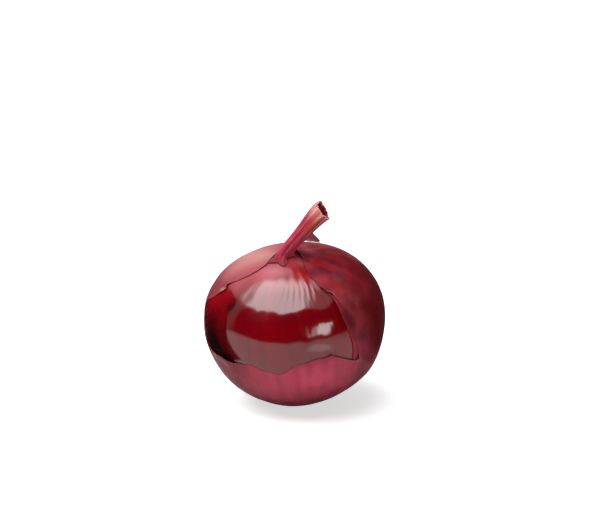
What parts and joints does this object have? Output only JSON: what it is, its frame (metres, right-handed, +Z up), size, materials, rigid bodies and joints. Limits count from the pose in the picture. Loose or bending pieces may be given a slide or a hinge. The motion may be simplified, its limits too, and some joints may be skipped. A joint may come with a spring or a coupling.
{
  "type": "onion",
  "caption": "Whole red onion with a torn dry outer skin over a glossy bulb, a bent dried neck and a trimmed root tuft; rests on a small flat spot.",
  "frame": {"origin": "middle of the small flat spot that the onion rests on", "axes": "+Z up; -Y toward the side with the torn window; +X to the right seen from that side. The onion's own axis leans 10 degrees toward -Y and 7 degrees toward -X"},
  "size_m": [0.0752, 0.0742, 0.0883],
  "materials": {
    "inner_skin": "smooth glossy fresh onion skin",
    "dry_skin": "satin papery dry skin with fine lengthwise veins",
    "neck_sheath": "dried fibrous leaf sheath",
    "root": "corky root plate with short dried roots"
  },
  "bodies": {
    "root": {"bulb": "inner_skin", "outer_skin": "dry_skin", "neck": "neck_sheath", "root_tuft": "root"}
  },
  "joints": []
}
